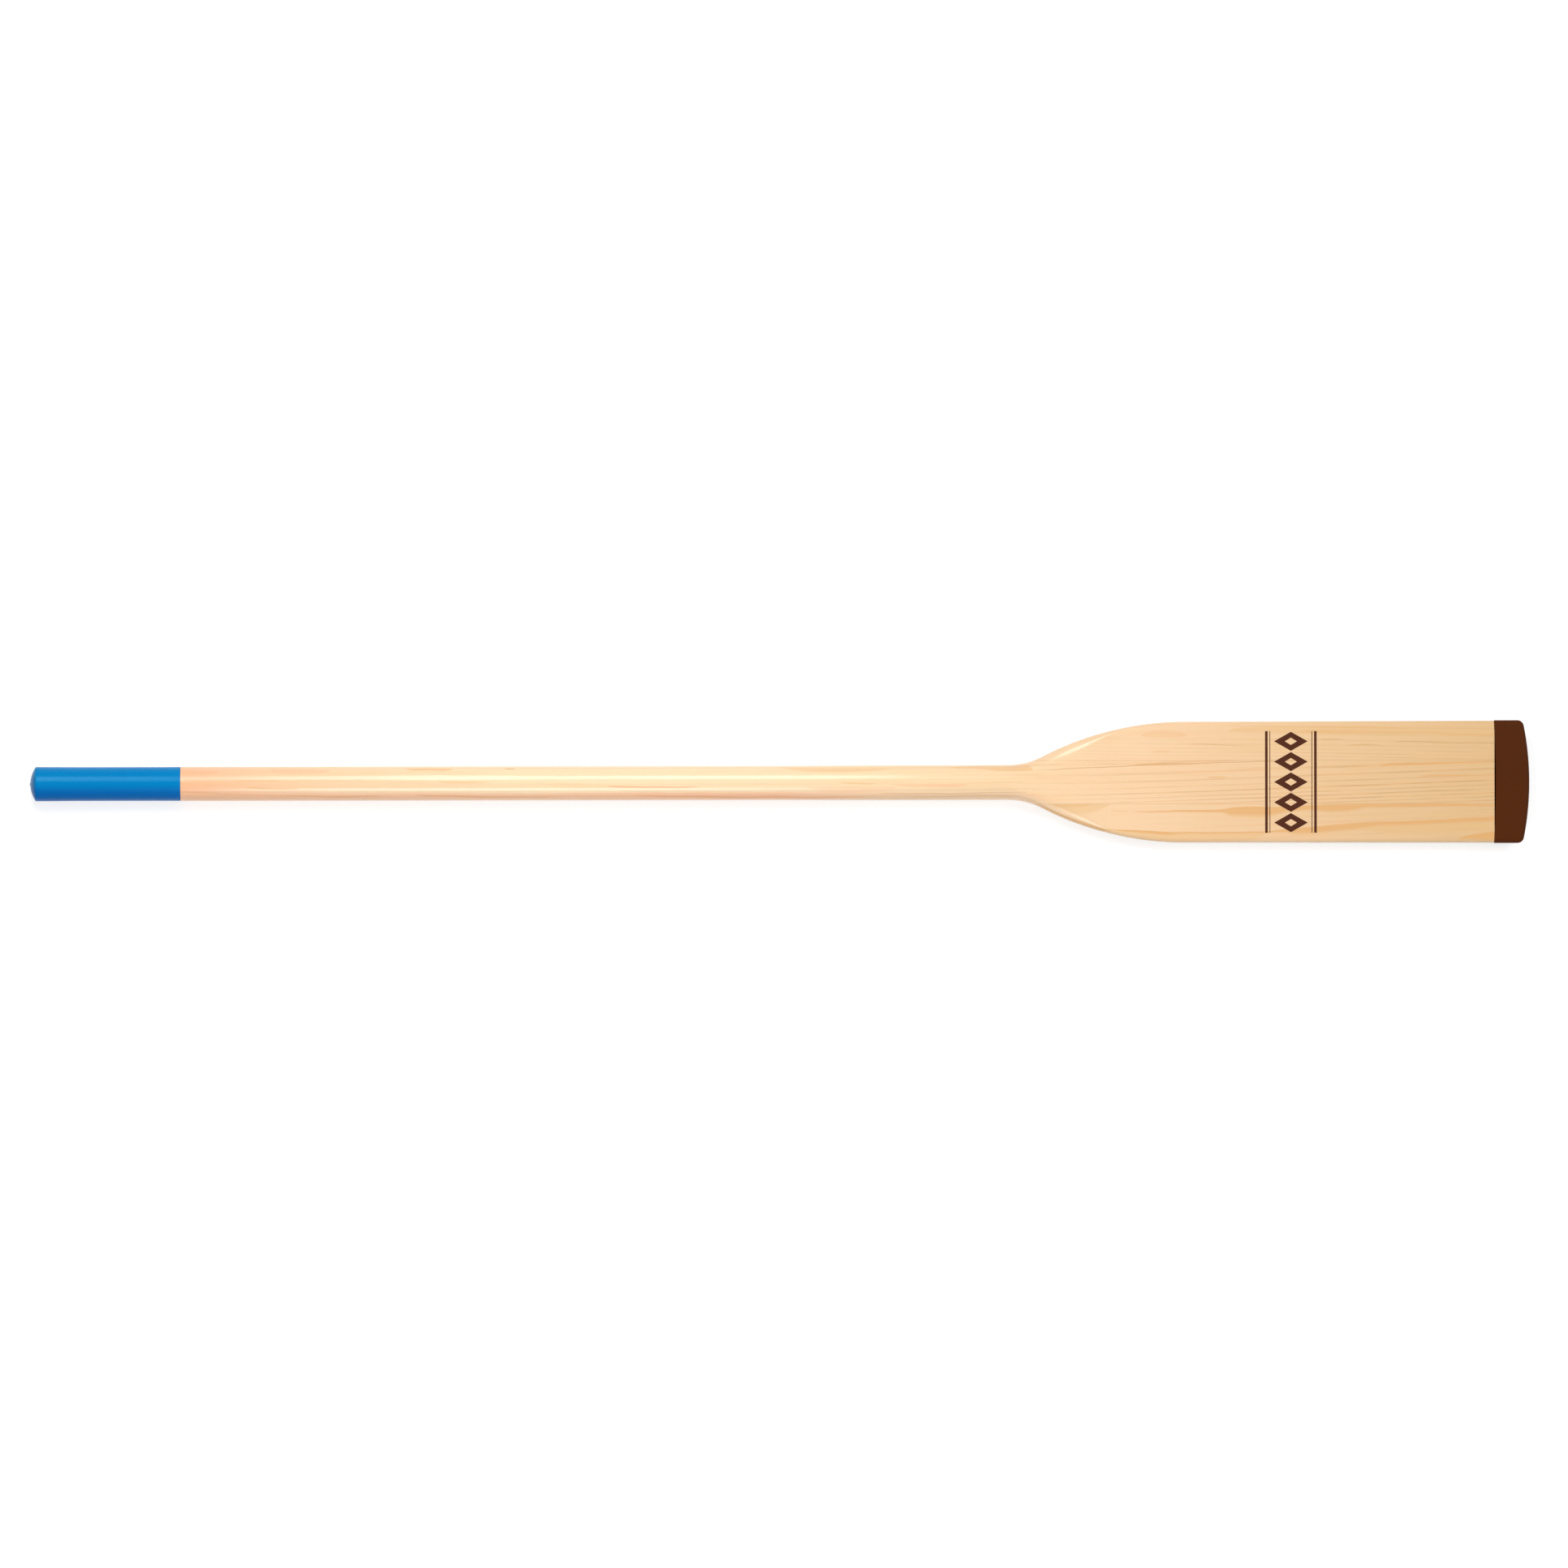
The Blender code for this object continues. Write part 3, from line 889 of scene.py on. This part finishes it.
STICK_BANDS = (
    Band(PINK_WOOD, 0.7, 1, (
        (-0.733, 0.0165, 0), (-0.715, 0.0162, 0.0045), (-0.700, 0.0158, 0.0045),
        (-0.680, 0.0150, 0),
    )),
    Band(PINK_WOOD, 0.4, 1, (
        (-0.625, 0.0180, 0), (-0.600, 0.0175, 0.0070), (-0.570, 0.0172, 0.0070),
        (-0.545, 0.0170, 0),
    )),
    Band(ORANGE_WOOD, 0.5, 1, (
        (-0.672, 0.0042, 0), (-0.650, 0.0042, 0.0016), (-0.625, 0.0040, 0.0014),
        (-0.600, 0.0036, 0),
    )),
    Band(ORANGE_WOOD, 0.6, 1, (
        (-0.655, -0.0045, 0), (-0.630, -0.0050, 0.0024), (-0.605, -0.0055, 0.0026),
        (-0.580, -0.0060, 0),
    )),
    Band(ORANGE_WOOD, 0.6, 1, (
        (-0.460, 0.0185, 0), (-0.440, 0.0183, 0.0036), (-0.415, 0.0180, 0.0036),
        (-0.395, 0.0178, 0),
    )),
    Band(ORANGE_WOOD, 0.4, 1, (
        (-0.420, 0.0030, 0), (-0.395, 0.0025, 0.0030), (-0.370, 0.0020, 0.0020),
        (-0.350, 0.0015, 0),
    )),
    Band(LATEWOOD, 0.8, 1, ((-0.338, 0.0182, 0), (-0.330, 0.0180, 0.0012), (-0.318, 0.0180, 0))),
    Band(PINK_WOOD, 0.9, 1, (
        (-0.215, -0.0032, 0), (-0.180, -0.0037, 0.0026), (-0.125, -0.0044, 0.0022),
        (-0.090, -0.0050, 0),
    )),
    Band(ORANGE_WOOD, 0.35, 1, (
        (0.000, 0.0185, 0), (0.025, 0.0183, 0.0045), (0.070, 0.0175, 0.0060),
        (0.110, 0.0172, 0.0040), (0.140, 0.0175, 0),
    )),
    Band(ORANGE_WOOD, 0.45, 1, ((0.070, 0.0005, 0), (0.095, 0.0000, 0.0026), (0.125, -0.0005, 0))),
    Band(PINK_WOOD, 0.35, 1, (
        (0.030, -0.0050, 0), (0.075, -0.0050, 0.0090), (0.120, -0.0055, 0.0070),
        (0.145, -0.0060, 0),
    )),
    Band(PINK_WOOD, 0.45, 1, (
        (0.130, -0.0018, 0), (0.175, -0.0022, 0.0040), (0.210, -0.0018, 0.0050),
        (0.230, -0.0016, 0),
    )),
    Band(LATEWOOD, 0.5, 1, (
        (0.110, -0.0128, 0), (0.150, -0.0132, 0.0014), (0.220, -0.0130, 0.0016),
        (0.270, -0.0122, 0.0014), (0.310, -0.0118, 0),
    )),
    Band(LATEWOOD, 0.4, 1, (
        (0.125, -0.0163, 0), (0.180, -0.0167, 0.0012), (0.250, -0.0160, 0.0014),
        (0.290, -0.0165, 0),
    )),
    Band(ORANGE_WOOD, 0.45, -1, (
        (0.200, 0.0185, 0), (0.245, 0.0160, 0.0060), (0.270, 0.0140, 0.0110),
        (0.292, 0.0139, 0.0110), (0.310, 0.0150, 0),
    )),
    Band(AMBER_WOOD, 0.7, 1, (
        (-0.735, -0.0090, 0.0016), (-0.680, -0.0115, 0.0014), (-0.625, -0.0140, 0.0014),
        (-0.540, -0.0150, 0.0020), (-0.470, -0.0150, 0),
    )),
    Band(AMBER_WOOD, 0.7, 1, (
        (-0.450, -0.0140, 0), (-0.400, -0.0145, 0.0030), (-0.330, -0.0155, 0.0026),
        (-0.250, -0.0160, 0),
    )),
    Band(AMBER_WOOD, 0.8, 1, (
        (-0.190, -0.0150, 0), (-0.120, -0.0158, 0.0026), (0.000, -0.0165, 0.0034),
        (0.080, -0.0168, 0.0016), (0.130, -0.0170, 0),
    )),
    Band(LATEWOOD, 0.6, -1, (
        (0.300, 0.0145, 0), (0.360, 0.0165, 0.0012), (0.420, 0.0190, 0.0014),
        (0.455, 0.0213, 0.0022), (0.490, 0.0219, 0.0018), (0.540, 0.0236, 0.0014),
        (0.600, 0.0249, 0.0014), (0.640, 0.0256, 0),
    )),
    Band(ORANGE_WOOD, 0.55, -1, (
        (0.430, 0.0193, 0), (0.452, 0.0203, 0.0022), (0.485, 0.0213, 0.0020), (0.512, 0.0224, 0),
    )),
    Band(ORANGE_WOOD, 0.6, -1, ((0.520, 0.0050, 0), (0.532, 0.0052, 0.0022), (0.550, 0.0055, 0))),
    Band(ORANGE_WOOD, 0.8, -1, (
        (0.728, 0.0185, 0), (0.752, 0.0200, 0.0040), (0.790, 0.0205, 0.0042),
        (0.825, 0.0222, 0.0022), (0.865, 0.0232, 0.0014),
    )),
    Band(ORANGE_WOOD, 0.7, -1, (
        (0.775, 0.0052, 0), (0.800, 0.0070, 0.0024), (0.825, 0.0078, 0.0022), (0.850, 0.0085, 0),
    )),
)
LEFT_BANDS = (
    Band(GOLDEN_WOOD, 0.6, -1, (
        (0.545, 0.0625, 0), (0.570, 0.0612, 0.0080), (0.660, 0.0590, 0.0130),
        (0.745, 0.0585, 0.0130), (0.785, 0.0585, 0.0130), (0.825, 0.0565, 0.0110),
        (0.880, 0.0550, 0.0110),
    )),
    Band(ORANGE_WOOD, 0.35, -1, (
        (0.625, 0.0605, 0), (0.680, 0.0592, 0.0060), (0.730, 0.0588, 0.0040),
        (0.790, 0.0586, 0.0036), (0.830, 0.0567, 0.0036), (0.880, 0.0551, 0.0050),
    )),
    Band(ORANGE_WOOD, 0.35, -1, (
        (0.635, 0.0668, 0), (0.680, 0.0660, 0.0026), (0.730, 0.0655, 0.0026), (0.770, 0.0650, 0),
    )),
    Band(ORANGE_WOOD, 0.25, -1, (
        (0.440, 0.0570, 0), (0.460, 0.0545, 0.0110), (0.475, 0.0545, 0.0110), (0.500, 0.0570, 0),
    )),
    Band(ORANGE_WOOD, 0.30, -1, ((0.450, 0.0370, 0), (0.466, 0.0365, 0.0030), (0.482, 0.0368, 0))),
    Band(LATEWOOD, 0.30, -1, (
        (0.495, 0.0458, 0), (0.520, 0.0455, 0.0016), (0.560, 0.0440, 0.0012), (0.600, 0.0415, 0),
    )),
    Band(LATEWOOD, 0.40, -1, ((0.655, 0.0515, 0), (0.672, 0.0515, 0.0020), (0.695, 0.0512, 0))),
    Band(LATEWOOD, 0.45, -1, ((0.685, 0.0438, 0), (0.712, 0.0440, 0.0018), (0.745, 0.0438, 0))),
    Band(LATEWOOD, 0.40, -1, (
        (0.745, 0.0487, 0), (0.775, 0.0485, 0.0018), (0.830, 0.0468, 0.0018),
        (0.880, 0.0462, 0.0014),
    )),
)
RIGHT_BANDS = (
    Band(GOLDEN_WOOD, 0.6, 1, (
        (0.375, -0.0500, 0), (0.410, -0.0570, 0.0100), (0.450, -0.0595, 0.0200),
        (0.560, -0.0605, 0.0160), (0.600, -0.0605, 0),
    )),
    Band(ORANGE_WOOD, 0.8, 1, (
        (0.420, -0.0350, 0), (0.445, -0.0353, 0.0014), (0.490, -0.0345, 0.0028),
        (0.535, -0.0335, 0.0050), (0.558, -0.0304, 0.0150), (0.580, -0.0298, 0.0160),
        (0.610, -0.0302, 0.0110), (0.640, -0.0290, 0.0070), (0.680, -0.0277, 0.0120),
        (0.722, -0.0274, 0.0056), (0.780, -0.0267, 0.0050), (0.880, -0.0282, 0.0024),
    )),
    Band(ORANGE_WOOD, 0.8, 1, (
        (0.405, -0.0575, 0), (0.430, -0.0583, 0.0036), (0.465, -0.0600, 0.0050),
        (0.492, -0.0613, 0.0020), (0.585, -0.0605, 0.0020), (0.615, -0.0580, 0.0046),
        (0.655, -0.0540, 0.0110), (0.705, -0.0503, 0.0100), (0.740, -0.0485, 0.0070),
        (0.790, -0.0468, 0.0070), (0.880, -0.0420, 0.0070),
    )),
    Band(ORANGE_WOOD, 0.9, 1, (
        (0.825, -0.0700, 0), (0.848, -0.0640, 0.0080), (0.884, -0.0590, 0.0180),
    )),
    Band(GOLDEN_WOOD, 0.55, 1, (
        (0.326, -0.0266, 0), (0.343, -0.0268, 0.0080), (0.360, -0.0268, 0.0180),
        (0.378, -0.0270, 0.0150), (0.404, -0.0272, 0),
    )),
    Band(ORANGE_WOOD, 0.4, 1, (
        (0.332, -0.0270, 0), (0.346, -0.0271, 0.0034), (0.360, -0.0272, 0.0034),
        (0.385, -0.0274, 0),
    )),
    # Partly wood colour and partly painted shade: this band darkens the throat's steep lower edge.
    Band(ORANGE_WOOD, 0.75, 1, (
        (0.283, -0.0180, 0), (0.316, -0.0272, 0.0050), (0.341, -0.0372, 0.0060),
        (0.366, -0.0467, 0.0060), (0.386, -0.0537, 0.0050), (0.408, -0.0595, 0),
    )),
    Band(ORANGE_WOOD, 0.4, 1, ((0.400, -0.0335, 0), (0.415, -0.0342, 0.0016), (0.430, -0.0350, 0))),
    Band(GOLDEN_WOOD, 0.7, 1, (
        (0.700, -0.0560, 0), (0.740, -0.0530, 0.0120), (0.800, -0.0510, 0.0160),
        (0.880, -0.0480, 0.0140),
    )),
)


class Vinyl(NamedTuple):
    """A vinyl's colour, the shade of its clouds, its -Y side's painted shade, and how it shines."""

    name: str
    colour: tuple
    shade: tuple
    painted_shade: tuple
    roughness: float
    gloss: float
    gloss_tint: tuple
    seed: float


# The third colour of each vinyl is painted shade for its -Y side.
BLUE_VINYL = Vinyl(
    "blue_vinyl", srgb(1, 131, 196), srgb(0, 123, 188), srgb(0, 104, 184),
    roughness=0.16, gloss=0.11, gloss_tint=(0.40, 0.95, 1.0, 1.0), seed=61.0,
)
BROWN_VINYL = Vinyl(
    "brown_vinyl", srgb(85, 42, 17), srgb(79, 38, 14), srgb(84, 41, 16),
    roughness=0.45, gloss=0.045, gloss_tint=(1.0, 0.9, 0.8, 1.0), seed=71.0,
)
VINYL_CLOUDS = Layer((0.06, 0.03, 0.03), 0.0, 2.0)
VINYL_CLOUD_SHADE = 0.5
VINYL_CLOUD_ROUGHNESS = 0.08
VINYL_GRAIN = Layer((0.0009, 0.0009, 0.0009), 2.0, 2.0)
VINYL_GRAIN_SHADE = 0.15
VINYL_GRAIN_RELIEF = 0.6
SCUFFS = Layer((0.012, 0.0012, 0.0012), 4.0, 3.0, 0.66, 0.78, 0.1)
# Where the painted shade on the vinyl's -Y side starts and where it is whole, in Y.
PAINTED_SHADE_SIDE = (0.0010, -0.0115)
SKIN_DEPTH = 0.00004


def moulded(vinyl):
    """Satin vinyl with faint clouds, painted shade on its -Y side, a fine skin and a few scuffs."""
    board = Board(vinyl.name)
    cloud = board.texture(VINYL_CLOUDS, vinyl.seed)
    grain = board.texture(VINYL_GRAIN, vinyl.seed)
    scuffs = board.cover(board.texture(SCUFFS, vinyl.seed), SCUFFS)
    shading = cloud * VINYL_CLOUD_SHADE + grain * VINYL_GRAIN_SHADE
    colour = board.mix(vinyl.colour, vinyl.shade, shading)
    # Painted shade: the colour deepens towards the -Y side, away from the light.
    colour = board.mix(colour, vinyl.painted_shade, board.step(board.y, *PAINTED_SHADE_SIDE))
    board.feed(board.shader.inputs["Base Color"], colour)
    roughness = cloud * VINYL_CLOUD_ROUGHNESS + scuffs + vinyl.roughness
    board.feed(board.shader.inputs["Roughness"], roughness)
    board.bump(grain * VINYL_GRAIN_RELIEF + cloud * (1 - VINYL_GRAIN_RELIEF), SKIN_DEPTH)
    board.shader.inputs["Specular IOR Level"].default_value = vinyl.gloss
    board.shader.inputs["Specular Tint"].default_value = vinyl.gloss_tint
    return board.material


INK = srgb(76, 36, 18)
THIN_INK = srgb(112, 64, 36)
INK_FIBRES = Layer((0.02, 0.0004, 0.0004), 21.0, 2.0, 0.62, 0.85, 0.6)
INK_ROUGHNESS = 0.4
INK_FIBRE_ROUGHNESS = 0.2
INK_RELIEF = 0.00002
INK_SHINE = 0.15


def print_ink():
    """Brown ink that lies thinner along the grain's fibres."""
    board = Board("blade_ink")
    fibre = board.texture(INK_FIBRES, 0.0)
    colour = board.mix(INK, THIN_INK, board.cover(fibre, INK_FIBRES))
    board.feed(board.shader.inputs["Base Color"], colour)
    board.feed(board.shader.inputs["Roughness"], fibre * INK_FIBRE_ROUGHNESS + INK_ROUGHNESS)
    board.bump(fibre, INK_RELIEF)
    board.shader.inputs["Specular IOR Level"].default_value = INK_SHINE
    return board.material


# Stage

FLOOR_ALBEDO = 0.6
FLOOR_GLOW = 0.65
FLOOR_ROUGHNESS = 0.9
FLOOR_SIDE = 60.0
SKY_STRENGTH = 0.27


def seen_directly(tree):
    """1 for camera, glossy and transmission rays, and 0 for the rays that light things."""
    path = tree.nodes.new("ShaderNodeLightPath")
    seen = path.outputs["Is Camera Ray"]
    for ray in ("Is Glossy Ray", "Is Transmission Ray"):
        either = tree.nodes.new("ShaderNodeMath")
        either.operation = "MAXIMUM"
        tree.links.new(seen, either.inputs[0])
        tree.links.new(path.outputs[ray], either.inputs[1])
        seen = either.outputs["Value"]
    return seen


def floor():
    """A pale floor that shows white where it is lit and keeps the oar's soft shadow."""
    bm = bmesh.new()
    bmesh.ops.create_grid(bm, x_segments=1, y_segments=1, size=FLOOR_SIDE / 2)
    data = bpy.data.meshes.new("floor")
    bm.to_mesh(data)
    bm.free()
    made = bpy.data.objects.new("floor", data)
    bpy.context.scene.collection.objects.link(made)
    made.location.z = low.z
    paint = bpy.data.materials.new("floor")
    paint.use_nodes = True
    tree = paint.node_tree
    shader = tree.nodes["Principled BSDF"]
    shader.inputs["Base Color"].default_value = (FLOOR_ALBEDO, FLOOR_ALBEDO, FLOOR_ALBEDO, 1.0)
    shader.inputs["Roughness"].default_value = FLOOR_ROUGHNESS
    shader.inputs["Specular IOR Level"].default_value = 0.0
    shader.inputs["Emission Color"].default_value = (1.0, 1.0, 1.0, 1.0)
    glow = tree.nodes.new("ShaderNodeMath")
    glow.operation = "MULTIPLY"
    glow.inputs[1].default_value = FLOOR_GLOW
    tree.links.new(seen_directly(tree), glow.inputs[0])
    tree.links.new(glow.outputs["Value"], shader.inputs["Emission Strength"])
    data.materials.append(paint)


def sky():
    """An even sky that lights softly, and that the camera and gloss see as white."""
    world = bpy.data.worlds.new("studio")
    world.use_nodes = True
    bpy.context.scene.world = world
    tree = world.node_tree
    background = tree.nodes["Background"]
    background.inputs["Color"].default_value = (1.0, 1.0, 1.0, 1.0)
    strength = tree.nodes.new("ShaderNodeMapRange")
    strength.inputs["To Min"].default_value = SKY_STRENGTH
    strength.inputs["To Max"].default_value = 1.0
    tree.links.new(seen_directly(tree), strength.inputs["Value"])
    tree.links.new(strength.outputs["Result"], background.inputs["Strength"])


class Softbox(NamedTuple):
    """A lamp: where it hangs, the point it faces, its size along and across, and its radiance."""

    name: str
    place: tuple
    aim: tuple
    length: float
    width: float
    radiance: float


def beside(name, x, lean, distance, length, width, radiance):
    """A softbox that faces the loom's axis at X, and leans towards +Y by degrees."""
    lean = math.radians(lean)
    place = (x, distance * math.sin(lean), AXIS_Z + distance * math.cos(lean))
    return Softbox(name, place, (x, 0.0, AXIS_Z), length, width, radiance)


STRIP_DISTANCE = 2.2
SOFTBOXES = (
    beside("upper_strip", -0.275, 39.0, STRIP_DISTANCE, 0.85, 0.90, 5.7),
    beside("lower_strip", -0.378, -42.0, STRIP_DISTANCE, 0.675, 0.80, 5.3),
    beside("lower_tail", 0.055, -42.0, STRIP_DISTANCE, 0.19, 0.80, 2.2),
    beside("glint", -0.455, 39.0, STRIP_DISTANCE, 0.06, 1.40, 10.0),
    beside("grip_strip", -0.985, 35.0, STRIP_DISTANCE, 0.31, 1.20, 12.0),
    beside("side_fill", 0.45, -72.0, 3.0, 2.4, 1.5, 1.2),
    Softbox("tip_end_fill", (2.7, 1.2, 2.8), (0.5, 0.0, 0.0), 2.2, 2.2, 3.85),
)


def hang(box):
    lamp = bpy.data.lights.new(box.name, "AREA")
    lamp.shape = "RECTANGLE"
    lamp.size = box.length
    lamp.size_y = box.width
    lamp.energy = box.radiance * math.pi * box.length * box.width
    made = bpy.data.objects.new(box.name, lamp)
    bpy.context.scene.collection.objects.link(made)
    made.location = box.place
    facing = Vector(box.aim) - Vector(box.place)
    made.rotation_euler = facing.to_track_quat("-Z", "Y").to_euler()


# Camera: straight down on the photo's 1932 x 1932 frame

FRAME_WIDTH = 1.9129
CAMERA_X = 0.0055
CAMERA_Y = -0.0014
CAMERA_ROLL = math.radians(-0.10)
LENS = 600.0
SENSOR = 36.0
CAMERA_REACH = 100.0


def camera():
    data = bpy.data.cameras.new("camera")
    data.lens = LENS
    data.sensor_width = SENSOR
    data.clip_end = CAMERA_REACH
    made = bpy.data.objects.new("camera", data)
    bpy.context.scene.collection.objects.link(made)
    made.location = (CAMERA_X, CAMERA_Y, AXIS_Z + FRAME_WIDTH * LENS / SENSOR)
    made.rotation_euler = (0.0, 0.0, CAMERA_ROLL)
    bpy.context.scene.camera = made


stick(pine("pine_stick", STICK_TIMBER, 2.0, STICK_BANDS, heartwood_and_shade=True))
wing(1, "left", pine("pine_left_plank", LEFT_TIMBER, 31.0, LEFT_BANDS))
wing(-1, "right", pine("pine_right_plank", RIGHT_TIMBER, 47.0, RIGHT_BANDS))
sleeve(moulded(BLUE_VINYL))
guard(moulded(BROWN_VINYL))
ink(print_ink())
floor()
sky()
for box in SOFTBOXES:
    hang(box)
camera()
bpy.context.scene.view_settings.view_transform = "Standard"
